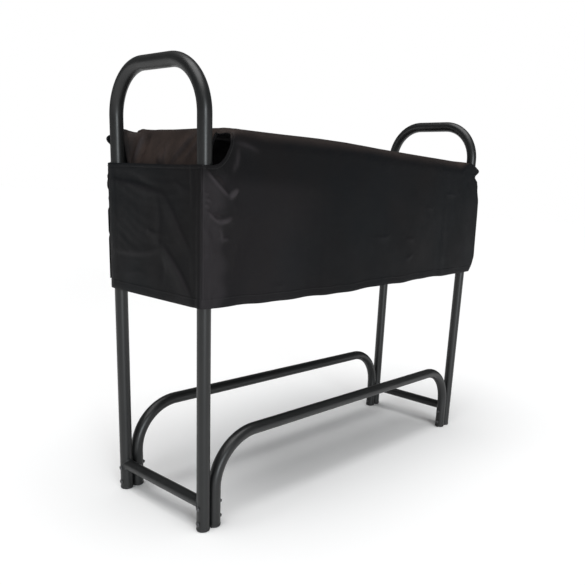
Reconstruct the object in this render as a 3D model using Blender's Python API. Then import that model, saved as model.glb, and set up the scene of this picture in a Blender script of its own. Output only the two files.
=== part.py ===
"""Firewood log rack: two round-tube arch end frames, two bent base rails, and a fitted slip-on cover.

Metres, +Z up.  The origin is on the floor at the centre of the footprint.  +X runs along the rack,
-Y is the front.  "Left" is the -X end.
"""
import math

import bmesh
import bpy
from mathutils import Vector

# ---- driving dimensions ---------------------------------------------------------------------
RACK_HEIGHT = 1.200        # floor to the crown of the arches
END_SPAN = 1.260           # left arch axis to right arch axis
FRAME_DEPTH = 0.364        # front upright axis to rear upright axis
TUBE_D = 0.035             # arch and base rail tube
TUBE_WALL = 0.0015
ARCH_BEND_R = 0.124        # centreline radius of the two bends of an arch
RAIL_HEIGHT = 0.250        # floor to the base rail axis
RAIL_BEND_R = 0.140        # centreline radius where a base rail turns down into its leg
CROSSBAR_D = 0.032
CROSSBAR_Z = 0.078
BOLT_D = 0.006
BOLT_HEAD_D = 0.0135
BOLT_HEAD_H = 0.0034
BOLT_HEAD_RIM = 0.25       # share of the head's height that stands straight before the dome
BOLT_TIP = 0.003           # bolt end past the nut
BOLT_HEIGHTS = {"upper": 0.068, "lower": 0.0235}
NUT_FLATS = 0.010
NUT_H = 0.005
PLUG_FLANGE_H = 0.008
PLUG_STEM_H = 0.006
PLUG_EDGE_R = 0.004        # soft lower edge of a foot plug
COVER_WALL = 0.003
COVER_HEM_Z = 0.617
COVER_SLOT_Z = 0.950       # top edge of the hanging end walls
COVER_TOP_Z = 1.047
COVER_FOLD_R = 0.022       # long top folds
COVER_SLOPE = 0.060        # length of the sloped end of the top panel
COVER_KNEE = 0.012         # straight rise above the slot before an end slopes
COVER_CREST = 0.018        # softened crest where a slope meets the top

# ---- clearances ------------------------------------------------------------------------------
GAP = 0.0003               # between pieces that touch
LEG_GAP = 0.002            # between an upright and the rail leg beside it
HOLE_CLEAR = 0.0004        # bolt shank to its hole, on the radius
COVER_GAP = 0.002          # cover to the tube it hangs round
SLOT_CLEAR = 0.028         # inner edge of the cover slot to the tube

# ---- sizes that follow -----------------------------------------------------------------------
TUBE_R = TUBE_D / 2
BORE_R = TUBE_R - TUBE_WALL
ARCH_X = END_SPAN / 2
UPRIGHT_Y = FRAME_DEPTH / 2
ARCH_TOP_Z = RACK_HEIGHT - TUBE_R
LEG_X = ARCH_X - TUBE_D - LEG_GAP
TUBE_FOOT_Z = PLUG_FLANGE_H + GAP
PLUG_R = TUBE_R + LEG_GAP / 2 - GAP
COVER_IN_X = ARCH_X + TUBE_R + COVER_GAP
COVER_IN_Y = UPRIGHT_Y + TUBE_R + COVER_GAP
COVER_IN_R = TUBE_R + COVER_GAP
HOOD_IN_X = ARCH_X - TUBE_R - SLOT_CLEAR - COVER_WALL
HOOD_LAP = 0.020           # the hood starts this far below the slot, inside the skirt
CUT_REACH = 0.040          # how far a cutting solid runs past what it cuts

# ---- mesh ------------------------------------------------------------------------------------
TUBE_SEGS = 20
CROSSBAR_SEGS = 16
COPE_SEGS = 32
PLUG_SEGS = 16
BEND_SEGS = 8
COVER_BEND_SEGS = 5
DOME_SEGS = 4
SMALL_SEGS = 12
SHARP = math.radians(35)
EPS = 1e-5

COLOURS = {
    "coat": ((0.014, 0.016, 0.017), 0.38, 0.0),
    "plug": ((0.010, 0.010, 0.011), 0.55, 0.0),
    "bolt": ((0.060, 0.062, 0.065), 0.35, 1.0),
    "cover": ((0.012, 0.012, 0.014), 0.60, 0.0),
}


def clear_scene():
    for ob in list(bpy.data.objects):
        bpy.data.objects.remove(ob, do_unlink=True)


def make_material(name, kind):
    colour, rough, metal = COLOURS[kind]
    mat = bpy.data.materials.new(name + "_material")
    mat.use_nodes = True
    bsdf = mat.node_tree.nodes["Principled BSDF"]
    bsdf.inputs["Base Color"].default_value = (*colour, 1.0)
    bsdf.inputs["Roughness"].default_value = rough
    bsdf.inputs["Metallic"].default_value = metal
    return mat


def shade(mesh):
    mesh.shade_smooth()
    mesh.set_sharp_from_angle(angle=SHARP)


def add_object(name, bm, kind=None, origin=(0, 0, 0), smooth=True):
    """Turn a bmesh into an object whose origin is at `origin`."""
    bmesh.ops.remove_doubles(bm, verts=bm.verts, dist=EPS)
    bmesh.ops.recalc_face_normals(bm, faces=bm.faces)
    bmesh.ops.translate(bm, verts=bm.verts, vec=-Vector(origin))
    mesh = bpy.data.meshes.new(name)
    bm.to_mesh(mesh)
    bm.free()
    ob = bpy.data.objects.new(name, mesh)
    ob.location = origin
    bpy.context.scene.collection.objects.link(ob)
    if kind:
        mesh.materials.append(make_material(name, kind))
    if smooth:
        shade(mesh)
    return ob


def bridge(bm, a, b):
    """Quads between two rings of the same length."""
    n = len(a)
    for i in range(n):
        bm.faces.new((a[i], a[(i + 1) % n], b[(i + 1) % n], b[i]))


def cylinder(name, radius, start, end, segs):
    """A plain solid rod between two points."""
    start, end = Vector(start), Vector(end)
    turn = (end - start).to_track_quat("Z", "Y")
    bm = bmesh.new()
    rings = []
    for centre in (start, end):
        ring = []
        for i in range(segs):
            a = 2 * math.pi * i / segs
            ring.append(bm.verts.new(centre + turn @ Vector((radius * math.cos(a), radius * math.sin(a), 0))))
        rings.append(ring)
    bridge(bm, rings[0], rings[1])
    bm.faces.new(list(reversed(rings[0])))
    bm.faces.new(rings[1])
    return add_object(name, bm, smooth=False)


def lathe(name, profile, axis_x, segs, kind, origin):
    """Revolve (radius, height) points; the first and last lie on the axis.  Height runs along X or Z."""
    bm = bmesh.new()
    rings = []
    for radius, h in profile:
        if radius < EPS:
            rings.append([bm.verts.new((h, 0, 0) if axis_x else (0, 0, h))])
            continue
        ring = []
        for i in range(segs):
            a = 2 * math.pi * i / segs
            c, s = radius * math.cos(a), radius * math.sin(a)
            ring.append(bm.verts.new((h, c, s) if axis_x else (c, s, h)))
        rings.append(ring)
    for a, b in zip(rings, rings[1:]):
        if len(a) == 1 or len(b) == 1:
            tip, ring = (a[0], b) if len(a) == 1 else (b[0], a)
            for i in range(segs):
                bm.faces.new((tip, ring[i], ring[(i + 1) % segs]))
        else:
            bridge(bm, a, b)
    bmesh.ops.translate(bm, verts=bm.verts, vec=Vector(origin))
    return add_object(name, bm, kind, origin)


def modify(ob, cutters, operation="DIFFERENCE"):
    """Apply one exact boolean per cutter, then remove the cutters."""
    for cutter in cutters:
        mod = ob.modifiers.new("cut", "BOOLEAN")
        mod.operation = operation
        mod.solver = "EXACT"
        mod.object = cutter
    bpy.context.view_layer.update()
    shaped = ob.evaluated_get(bpy.context.evaluated_depsgraph_get())
    mesh = bpy.data.meshes.new_from_object(shaped)
    ob.modifiers.clear()
    mesh.name = ob.name
    ob.data = mesh
    for cutter in cutters:
        bpy.data.objects.remove(cutter, do_unlink=True)
    return ob


def bend(centre, start_dir, end_dir, radius):
    """Points of a quarter bend that begins along start_dir and ends along end_dir from its centre."""
    centre, start_dir, end_dir = Vector(centre), Vector(start_dir), Vector(end_dir)
    points = []
    for i in range(BEND_SEGS + 1):
        a = math.pi / 2 * i / BEND_SEGS
        points.append(centre + radius * (math.cos(a) * start_dir + math.sin(a) * end_dir))
    return points


def tube(name, path, side):
    """A hollow round tube along a flat path; `side` is the direction square to the path's plane."""
    bm = bmesh.new()
    side = Vector(side)
    outer, inner = [], []
    for i, point in enumerate(path):
        before = path[max(i - 1, 0)]
        after = path[min(i + 1, len(path) - 1)]
        along = (after - before).normalized()
        if i in (0, len(path) - 1):
            along = Vector((0, 0, 1)) if i == 0 else Vector((0, 0, -1))
        across = along.cross(side).normalized()
        for rings, radius in ((outer, TUBE_R), (inner, BORE_R)):
            ring = []
            for k in range(TUBE_SEGS):
                a = 2 * math.pi * (k + 0.5) / TUBE_SEGS
                ring.append(bm.verts.new(point + radius * (math.cos(a) * side + math.sin(a) * across)))
            rings.append(ring)
    for rings in (outer, inner):
        for a, b in zip(rings, rings[1:]):
            bridge(bm, a, b)
    bridge(bm, outer[0], inner[0])
    bridge(bm, outer[-1], inner[-1])
    return add_object(name, bm, "coat")


def bolt_line(end, y, z, radius, name):
    """A rod along X through an upright and the rail leg beside it, used as a drill."""
    return cylinder(name, radius, (end * (LEG_X - TUBE_D), y, z), (end * (ARCH_X + TUBE_D), y, z), SMALL_SEGS)


def drill(ob, places):
    holes = [bolt_line(end, y, z, BOLT_D / 2 + HOLE_CLEAR, "drill") for end, y, z in places]
    modify(ob, holes)
    shade(ob.data)
    return ob


def build_arch(side_name, end):
    """Inverted-U end frame tube."""
    x = end * ARCH_X
    top_centre_y = UPRIGHT_Y - ARCH_BEND_R
    bend_z = ARCH_TOP_Z - ARCH_BEND_R
    path = [Vector((x, -UPRIGHT_Y, TUBE_FOOT_Z))]
    path += bend((x, -top_centre_y, bend_z), (0, -1, 0), (0, 0, 1), ARCH_BEND_R)
    path += bend((x, top_centre_y, bend_z), (0, 0, 1), (0, 1, 0), ARCH_BEND_R)
    path.append(Vector((x, UPRIGHT_Y, TUBE_FOOT_Z)))
    arch = tube(side_name + "_arch_tube", path, (1, 0, 0))
    return drill(arch, [(end, y, z) for y in (-UPRIGHT_Y, UPRIGHT_Y) for z in BOLT_HEIGHTS.values()])


def build_crossbar(side_name, end):
    """Low bar between the two uprights, coped to their round sides."""
    x = end * ARCH_X
    bar = cylinder(side_name + "_crossbar", CROSSBAR_D / 2, (x, -UPRIGHT_Y, CROSSBAR_Z),
                   (x, UPRIGHT_Y, CROSSBAR_Z), CROSSBAR_SEGS)
    bore = cylinder("bore", CROSSBAR_D / 2 - TUBE_WALL, (x, -FRAME_DEPTH, CROSSBAR_Z),
                    (x, FRAME_DEPTH, CROSSBAR_Z), CROSSBAR_SEGS)
    cope_top = CROSSBAR_Z + CROSSBAR_D / 2 + CUT_REACH
    copes = []
    for y in (-UPRIGHT_Y, UPRIGHT_Y):
        copes.append(cylinder("cope", TUBE_R + GAP, (x, y, 0), (x, y, cope_top), COPE_SEGS))
    modify(bar, [bore] + copes)
    bar.data.materials.append(make_material(bar.name, "coat"))
    shade(bar.data)
    return bar


def build_rail(side_name, y):
    """Long base rail whose ends turn down into legs."""
    turn_x = LEG_X - RAIL_BEND_R
    turn_z = RAIL_HEIGHT - RAIL_BEND_R
    path = [Vector((-LEG_X, y, TUBE_FOOT_Z))]
    path += bend((-turn_x, y, turn_z), (-1, 0, 0), (0, 0, 1), RAIL_BEND_R)
    path += bend((turn_x, y, turn_z), (0, 0, 1), (1, 0, 0), RAIL_BEND_R)
    path.append(Vector((LEG_X, y, TUBE_FOOT_Z)))
    rail = tube(side_name + "_base_rail", path, (0, 1, 0))
    return drill(rail, [(end, y, z) for end in (-1, 1) for z in BOLT_HEIGHTS.values()])


def build_bolt(name, end, y, z):
    """Domed bolt from the outer side of the upright through the rail leg."""
    face = ARCH_X + TUBE_R + GAP
    tip = LEG_X - TUBE_R - GAP - NUT_H - BOLT_TIP
    head = []
    for i in range(DOME_SEGS):
        a = math.pi / 2 * i / DOME_SEGS
        height = BOLT_HEAD_RIM + (1 - BOLT_HEAD_RIM) * math.sin(a)
        head.append((BOLT_HEAD_D / 2 * math.cos(a), end * BOLT_HEAD_H * height))
    profile = [(0, end * (tip - face)), (BOLT_D / 2, end * (tip - face)), (BOLT_D / 2, 0),
               (BOLT_HEAD_D / 2, 0)] + head + [(0, end * BOLT_HEAD_H)]
    return lathe(name, profile, True, SMALL_SEGS, "bolt", (end * face, y, z))


def build_nut(name, end, y, z):
    """Hexagon nut on the inner side of the rail leg; its hole has two segments to each flat."""
    bm = bmesh.new()
    hole_segs = 12
    near = end * (LEG_X - TUBE_R - GAP)
    far = near - end * NUT_H
    outlines = (("hex", NUT_FLATS / math.sqrt(3), 6), ("hole", BOLT_D / 2 + GAP, hole_segs))
    rings = {}
    for label, x in (("near", near), ("far", far)):
        for kind, radius, segs in outlines:
            ring = []
            for i in range(segs):
                a = 2 * math.pi * i / segs
                ring.append(bm.verts.new((x, y + radius * math.cos(a), z + radius * math.sin(a))))
            rings[label, kind] = ring
    bridge(bm, rings["near", "hex"], rings["far", "hex"])
    bridge(bm, rings["near", "hole"], rings["far", "hole"])
    for label in ("near", "far"):
        hexa, hole = rings[label, "hex"], rings[label, "hole"]
        for i in range(6):
            j, n = 2 * i, (i + 1) % 6
            middle, last = (j + 1) % hole_segs, (j + 2) % hole_segs
            bm.faces.new((hexa[i], hole[j], hole[middle]))
            bm.faces.new((hexa[i], hole[middle], hexa[n]))
            bm.faces.new((hexa[n], hole[middle], hole[last]))
    return add_object(name, bm, "bolt", ((near + far) / 2, y, z), smooth=False)


def build_plug(name, x, y):
    """Foot plug: rounded cap under the tube with a stem up its bore."""
    stem = BORE_R - GAP
    flange, top = PLUG_FLANGE_H, PLUG_FLANGE_H + PLUG_STEM_H
    shoulder = PLUG_EDGE_R * (1 - math.sqrt(0.5))
    profile = [(0, 0), (PLUG_R - PLUG_EDGE_R, 0), (PLUG_R - shoulder, shoulder), (PLUG_R, PLUG_EDGE_R),
               (PLUG_R, flange), (stem, flange), (stem, top), (0, top)]
    return lathe(name, profile, False, PLUG_SEGS, "plug", (x, y, 0))


def rounded_loop(half_a, half_b, radius):
    """Corner-rounded rectangle as (a, b) points, anticlockwise."""
    loop = []
    for ca, cb, first in ((1, 1, 0), (-1, 1, 1), (-1, -1, 2), (1, -1, 3)):
        for i in range(COVER_BEND_SEGS + 1):
            a = math.pi / 2 * (first + i / COVER_BEND_SEGS)
            across = ca * (half_a - radius) + radius * math.cos(a)
            loop.append((across, cb * (half_b - radius) + radius * math.sin(a)))
    return loop


def prism(name, loop, place, low, high):
    """Extrude a loop; `place` maps (a, b, height) to a point."""
    bm = bmesh.new()
    bottom = [bm.verts.new(place(a, b, low)) for a, b in loop]
    top = [bm.verts.new(place(a, b, high)) for a, b in loop]
    bridge(bm, bottom, top)
    bm.faces.new(list(reversed(bottom)))
    bm.faces.new(top)
    return add_object(name, bm, smooth=False)


def hood_block(name, grow, low_z):
    """Solid of the cover's upper part, with rounded long folds and sloped ends.

    `grow` adds to the inner size.
    """
    half_x, half_y = HOOD_IN_X + grow, COVER_IN_Y + grow
    top = COVER_TOP_Z - COVER_WALL + grow
    knee = COVER_SLOT_Z + COVER_KNEE
    crest_x = half_x - COVER_SLOPE
    loop_xz = [(-half_x, low_z), (half_x, low_z), (half_x, knee),
               (crest_x + COVER_CREST / 3, top - COVER_CREST / 2), (crest_x - COVER_CREST, top)]
    loop_xz += [(-x, z) for x, z in reversed(loop_xz[2:])]
    block = prism(name, loop_xz, lambda a, b, h: (a, h, b), -half_y, half_y)
    fold_r = COVER_FOLD_R + grow
    loop_yz = [(half_y, low_z - CUT_REACH)]
    for i in range(COVER_BEND_SEGS + 1):
        a = math.pi / 2 * i / COVER_BEND_SEGS
        loop_yz.append((half_y - fold_r + fold_r * math.cos(a), top - fold_r + fold_r * math.sin(a)))
    loop_yz += [(-y, z) for y, z in reversed(loop_yz)]
    folds = prism("folds", loop_yz, lambda a, b, h: (h, a, b), -half_x - CUT_REACH, half_x + CUT_REACH)
    return modify(block, [folds], "INTERSECT")


def build_cover():
    """Fitted cover: end walls hang outside the arches, the top panel lies between them."""
    def upright(a, b, h):
        return (a, b, h)

    outer = rounded_loop(COVER_IN_X + COVER_WALL, COVER_IN_Y + COVER_WALL, COVER_IN_R + COVER_WALL)
    inner = rounded_loop(COVER_IN_X, COVER_IN_Y, COVER_IN_R)
    cover = prism("cover", outer, upright, COVER_HEM_Z, COVER_SLOT_Z)
    hollow = prism("hollow", inner, upright, COVER_HEM_Z - CUT_REACH, COVER_SLOT_Z + CUT_REACH)
    modify(cover, [hollow])
    hood = hood_block("hood", COVER_WALL, COVER_SLOT_Z - HOOD_LAP)
    modify(hood, [hood_block("hood_hollow", 0.0, COVER_SLOT_Z - HOOD_LAP - CUT_REACH)])
    modify(cover, [hood], "UNION")
    cover.data.materials.clear()
    cover.data.materials.append(make_material("cover", "cover"))
    shade(cover.data)
    return cover


def build_fasteners(side_name, end):
    for depth_name, y in (("front", -UPRIGHT_Y), ("rear", UPRIGHT_Y)):
        corner = side_name + "_" + depth_name
        for level, z in BOLT_HEIGHTS.items():
            build_bolt(corner + "_" + level + "_bolt", end, y, z)
            build_nut(corner + "_" + level + "_nut", end, y, z)
        build_plug(corner + "_upright_foot_plug", end * ARCH_X, y)
        build_plug(corner + "_rail_foot_plug", end * LEG_X, y)


def main():
    clear_scene()
    for side_name, end in (("left", -1), ("right", 1)):
        build_arch(side_name, end)
        build_crossbar(side_name, end)
        build_fasteners(side_name, end)
    build_rail("front", -UPRIGHT_Y)
    build_rail("rear", UPRIGHT_Y)
    build_cover()


main()
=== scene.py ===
"""Looks for the firewood log rack: powder-coated tubes, fastenings, foot plugs and the draped cloth cover."""
import math

import bmesh
import bpy
import numpy as np
from mathutils import Matrix, Vector
from mathutils.bvhtree import BVHTree


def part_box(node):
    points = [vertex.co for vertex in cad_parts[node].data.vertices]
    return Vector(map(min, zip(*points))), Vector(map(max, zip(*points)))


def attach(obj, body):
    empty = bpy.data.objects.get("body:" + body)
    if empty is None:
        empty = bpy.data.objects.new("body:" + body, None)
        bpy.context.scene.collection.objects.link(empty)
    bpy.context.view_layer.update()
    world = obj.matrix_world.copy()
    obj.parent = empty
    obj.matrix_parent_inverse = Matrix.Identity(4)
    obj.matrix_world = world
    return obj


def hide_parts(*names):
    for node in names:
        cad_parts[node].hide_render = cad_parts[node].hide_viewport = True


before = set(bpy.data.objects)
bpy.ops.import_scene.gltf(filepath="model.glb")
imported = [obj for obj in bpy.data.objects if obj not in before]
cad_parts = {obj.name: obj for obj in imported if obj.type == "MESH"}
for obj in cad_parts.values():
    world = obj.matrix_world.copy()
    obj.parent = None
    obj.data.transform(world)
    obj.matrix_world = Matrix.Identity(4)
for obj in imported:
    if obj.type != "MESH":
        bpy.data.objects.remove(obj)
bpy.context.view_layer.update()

# ---- tubes, in metres ---------------------------------------------------------------------------
TUBE_R = 0.0175
TUBE_WALL = 0.0015
CROSSBAR_R = 0.016
ARCH_BEND_R = 0.124
RAIL_BEND_R = 0.140
TUBE_SEGS = 48
BEND_STEPS = 28
STRAIGHT_STEPS = 12
CROSSBAR_STEPS = 9
FIT_GAP = 0.0003          # left between pieces that touch
WELD_R = 0.0021
WELD_SEGS = 96
WELD_RING_SEGS = 8

# ---- fastenings and foot plugs ------------------------------------------------------------------
BOLT_R = 0.003
BOLT_SEGS = 40
BOLT_HEAD_R = 0.0068
BOLT_HEAD_H = 0.0034
BOLT_HEAD_STEPS = 12
THREAD_PITCH = 0.001
THREAD_DEPTH = 0.00035
THREAD_LENGTH = 0.020
THREAD_RINGS = 8          # rings for each turn of the thread
BOLT_TIP = 0.0012
NUT_SEGS = 48
NUT_CHAMFER = 0.0004
PLUG_SEGS = 48
PLUG_STEM_H = 0.006
PLUG_EDGE_R = 0.0046
PLUG_EDGE_STEPS = 8
PLUG_LIP = 0.0006
PLUG_DISH_R = 0.0060

# ---- camera -------------------------------------------------------------------------------------
CAMERA_PLACE = (-1.6201, -1.4293, 0.8898)
CAMERA_YAW = 38.076       # degrees from +X towards +Y
CAMERA_PITCH = 14.658     # degrees below the horizon
CAMERA_ROLL = 3.700
CAMERA_LENS = 39.15       # millimetres on a 36 mm sensor
CAMERA_SHIFT = (-0.1000, 0.1256)
WORLD_LIGHT = 0.15
WORLD_SEEN = 1.0


# ================================================================================= helpers
def new_object(name, bm, body, material, smooth_angle=None, node=None):
    """A finished bmesh as an object that rides on a body, in place of a CAD node if one is named."""
    bmesh.ops.recalc_face_normals(bm, faces=bm.faces)
    mesh = mesh_from(bm, name)
    ob = bpy.data.objects.new(name, mesh)
    bpy.context.scene.collection.objects.link(ob)
    mesh.shade_smooth()
    if smooth_angle:
        mesh.set_sharp_from_angle(angle=math.radians(smooth_angle))
    mesh.materials.append(material)
    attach(ob, body)
    if node:
        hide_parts(node)
    return ob


def mesh_from(bm, name):
    mesh = bpy.data.meshes.new(name)
    bm.to_mesh(mesh)
    bm.free()
    return mesh


def round_turn(segs):
    """Evenly spaced angles round a full turn."""
    return [2 * math.pi * i / segs for i in range(segs)]


def bridge(bm, a, b):
    n = len(a)
    for i in range(n):
        bm.faces.new((a[i], a[(i + 1) % n], b[(i + 1) % n], b[i]))


def bridge_all(bm, rings):
    for a, b in zip(rings, rings[1:]):
        bridge(bm, a, b)


def close_tube(bm, outer, inner):
    """Both skins of a tube, and a rim at each end."""
    bridge_all(bm, outer)
    bridge_all(bm, inner)
    for end in (0, -1):
        bridge(bm, outer[end], inner[end])


def lathe(bm, profile, place, segs):
    """Revolve (radius, height) points; `place` maps (across, up, height) to a point."""
    rings = []
    for radius, height in profile:
        if radius < 1e-7:
            rings.append([bm.verts.new(place(0.0, 0.0, height))])
            continue
        around = [(radius * math.cos(a), radius * math.sin(a)) for a in round_turn(segs)]
        rings.append([bm.verts.new(place(across, up, height)) for across, up in around])
    for a, b in zip(rings, rings[1:]):
        if len(a) > 1 and len(b) > 1:
            bridge(bm, a, b)
            continue
        tip, ring = (a[0], b) if len(a) == 1 else (b[0], a)
        for i in range(segs):
            bm.faces.new((tip, ring[i], ring[(i + 1) % segs]))


def centre(node):
    low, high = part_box(node)
    return (low + high) / 2


# ================================================================================= materials
class Nodes:
    """Short calls for building a node material."""

    def __init__(self, name):
        self.mat = bpy.data.materials.new(name)
        self.mat.use_nodes = True
        self.tree = self.mat.node_tree
        self.bsdf = self.tree.nodes["Principled BSDF"]
        self.coords = self.tree.nodes.new("ShaderNodeTexCoord").outputs["Object"]

    def split(self, vector):
        node = self.tree.nodes.new("ShaderNodeSeparateXYZ")
        self.link(vector, node.inputs["Vector"])
        return node.outputs

    def link(self, out, socket):
        self.tree.links.new(out, socket)

    def noise(self, scale, detail=3.0, rough=0.5, vector=None):
        node = self.tree.nodes.new("ShaderNodeTexNoise")
        node.inputs["Scale"].default_value = scale
        node.inputs["Detail"].default_value = detail
        node.inputs["Roughness"].default_value = rough
        self.link(vector or self.coords, node.inputs["Vector"])
        return node.outputs["Fac"]

    def ramp(self, value, stops):
        """Colour ramp; stops are (position, colour or grey)."""
        node = self.tree.nodes.new("ShaderNodeValToRGB")
        ramp = node.color_ramp
        while len(ramp.elements) < len(stops):
            ramp.elements.new(0.5)
        for element, (at, colour) in zip(ramp.elements, stops):
            element.position = at
            rgb = (colour,) * 3 if isinstance(colour, (int, float)) else colour
            element.color = (*rgb, 1.0)
        self.link(value, node.inputs["Fac"])
        return node.outputs["Color"]

    def math(self, operation, a, b=None):
        node = self.tree.nodes.new("ShaderNodeMath")
        node.operation = operation
        for socket, value in zip(node.inputs, (a, b)):
            if value is None:
                continue
            if isinstance(value, (int, float)):
                socket.default_value = value
            else:
                self.link(value, socket)
        return node.outputs["Value"]

    def map_range(self, value, low, high, to_low, to_high):
        node = self.tree.nodes.new("ShaderNodeMapRange")
        for socket, number in zip(("From Min", "From Max", "To Min", "To Max"), (low, high, to_low, to_high)):
            node.inputs[socket].default_value = number
        self.link(value, node.inputs["Value"])
        return node.outputs["Result"]

    def mix(self, fac, a, b):
        node = self.tree.nodes.new("ShaderNodeMix")
        node.data_type = "RGBA"
        self.link(fac, node.inputs[0])
        for socket, value in ((node.inputs[6], a), (node.inputs[7], b)):
            if isinstance(value, tuple):
                socket.default_value = (*value, 1.0)
            else:
                self.link(value, socket)
        return node.outputs[2]

    def bump(self, height, distance, strength=1.0, before=None):
        node = self.tree.nodes.new("ShaderNodeBump")
        node.inputs["Distance"].default_value = distance
        node.inputs["Strength"].default_value = strength
        self.link(height, node.inputs["Height"])
        if before is not None:
            self.link(before, node.inputs["Normal"])
        return node.outputs["Normal"]

    def set(self, **values):
        for name, value in values.items():
            socket = self.bsdf.inputs[name.replace("_", " ")]
            if isinstance(value, (int, float)):
                socket.default_value = value
            elif isinstance(value, tuple):
                socket.default_value = (*value, 1.0)
            else:
                self.link(value, socket)
        return self.mat


def powder_coat():
    """Black polyester powder coat: orange-peel skin, faint dust and rub marks."""
    m = Nodes("powder_coat")
    blotch = m.noise(9.0, 4.0)
    rub = m.noise(55.0, 6.0, 0.65)
    colour = m.ramp(blotch, [(0.30, (0.0056, 0.0062, 0.0064)), (0.70, (0.0092, 0.0096, 0.0096))])
    dust = m.map_range(rub, 0.62, 0.80, 0.0, 0.35)
    colour = m.mix(dust, colour, (0.026, 0.027, 0.027))
    rough = m.map_range(m.noise(24.0, 5.0, 0.6), 0.3, 0.7, 0.34, 0.44)
    peel = m.bump(m.noise(520.0, 2.0), 0.00012, 0.6)
    return m.set(Base_Color=colour, Roughness=rough, Normal=m.bump(m.noise(60.0, 2.0), 0.0006, 0.15, peel),
                 Specular_IOR_Level=0.47)


def fastener_steel():
    """Black-oxide bolts and nuts, paler where a spanner or a driver has rubbed."""
    m = Nodes("black_oxide_steel")
    wear = m.noise(420.0, 5.0, 0.7)
    colour = m.ramp(wear, [(0.45, (0.055, 0.056, 0.060)), (0.75, (0.22, 0.22, 0.225))])
    rough = m.map_range(m.noise(900.0, 3.0), 0.3, 0.7, 0.26, 0.44)
    return m.set(Base_Color=colour, Metallic=0.85, Roughness=rough, Normal=m.bump(wear, 0.00005, 0.5))


def plug_plastic():
    """Moulded black plastic with a fine spark-eroded grain, scuffed grey at the floor."""
    m = Nodes("moulded_plug")
    low = m.map_range(m.split(m.coords)["Z"], 0.0, 0.0035, 0.75, 0.0)
    scuff = m.math("MULTIPLY", low, m.map_range(m.noise(700.0, 4.0, 0.7), 0.45, 0.7, 0.0, 1.0))
    colour = m.mix(scuff, (0.011, 0.011, 0.012), (0.075, 0.072, 0.068))
    rough = m.map_range(m.noise(300.0), 0.3, 0.7, 0.48, 0.66)
    return m.set(Base_Color=colour, Roughness=rough, Normal=m.bump(m.noise(2600.0, 2.0), 0.00006, 0.7))


def weld_paint():
    m = Nodes("coated_weld")
    colour = m.ramp(m.noise(160.0), [(0.3, (0.010, 0.011, 0.012)), (0.7, (0.020, 0.021, 0.022))])
    rough = m.map_range(m.noise(200.0, 4.0), 0.3, 0.7, 0.30, 0.50)
    return m.set(Base_Color=colour, Roughness=rough, Normal=m.bump(m.noise(700.0, 3.0), 0.0003, 0.6))


# ================================================================================= tubes
def bend_points(middle, start_dir, end_dir, radius):
    return [middle + radius * (math.cos(a) * start_dir + math.sin(a) * end_dir)
            for a in (math.pi / 2 * i / BEND_STEPS for i in range(BEND_STEPS + 1))]


def inverted_u(half_span, foot, crown, bend_r, along, at):
    """Centreline of a U turned upside down; `along` is the direction across it."""
    up = Vector((0, 0, 1))
    low = at - along * half_span + up * foot
    high = at + along * half_span + up * foot
    middle = up * (crown - bend_r)
    leg = crown - bend_r - foot
    points = [low + up * leg * i / STRAIGHT_STEPS for i in range(STRAIGHT_STEPS)]
    points += bend_points(at - along * (half_span - bend_r) + middle, -along, up, bend_r)
    points += bend_points(at + along * (half_span - bend_r) + middle, up, along, bend_r)
    points += [high + up * leg * i / STRAIGHT_STEPS for i in reversed(range(STRAIGHT_STEPS))]
    return points


def hollow_tube(node, path, side, coat):
    """Round tube with a real wall.  The path is flat and `side` is square to it."""
    bm = bmesh.new()
    outer, inner = [], []
    last = len(path) - 1
    for i, point in enumerate(path):
        ahead = (path[min(i + 1, last)] - path[max(i - 1, 0)]).normalized()
        across = ahead.cross(side).normalized()
        around = [math.cos(a) * side + math.sin(a) * across for a in round_turn(TUBE_SEGS)]
        outer.append([bm.verts.new(point + TUBE_R * out) for out in around])
        inner.append([bm.verts.new(point + (TUBE_R - TUBE_WALL) * out) for out in around])
    close_tube(bm, outer, inner)
    new_object(node + "_coated", bm, "frame", coat, smooth_angle=40, node=node)


def make_tubes(coat):
    """Arches and base rails with smooth bends, each in place of its faceted CAD tube."""
    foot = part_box("left_front_upright_foot_plug")[1].z - PLUG_STEM_H + FIT_GAP
    along_x, along_y = Vector((1, 0, 0)), Vector((0, 1, 0))
    half_y = centre("left_rear_upright_foot_plug").y
    half_x = centre("right_front_rail_foot_plug").x
    for node in ("left_arch_tube", "right_arch_tube"):
        at = Vector((centre(node).x, 0, 0))
        path = inverted_u(half_y, foot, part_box(node)[1].z - TUBE_R, ARCH_BEND_R, along_y, at)
        hollow_tube(node, path, along_x, coat)
    for node in ("front_base_rail", "rear_base_rail"):
        at = Vector((0, centre(node).y, 0))
        path = inverted_u(half_x, foot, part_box(node)[1].z - TUBE_R, RAIL_BEND_R, along_x, at)
        hollow_tube(node, path, along_y, coat)


def coped_y(angle, bar_r, y_axis, inward):
    """Where a bar's surface line at `angle` meets the round upright it is coped to."""
    across = bar_r * math.cos(angle)
    return y_axis + inward * math.sqrt((TUBE_R + FIT_GAP) ** 2 - across ** 2)


def crossbar_ring(middle, y_axis, radius, share):
    """One ring of a crossbar; `share` runs from 0 at the front upright to 1 at the rear one."""
    points = []
    for a in round_turn(TUBE_SEGS):
        front = coped_y(a, radius, -y_axis, 1)
        rear = coped_y(a, radius, y_axis, -1)
        y = front + (rear - front) * share
        points.append((middle.x + radius * math.cos(a), y, middle.z + radius * math.sin(a)))
    return points


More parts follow.
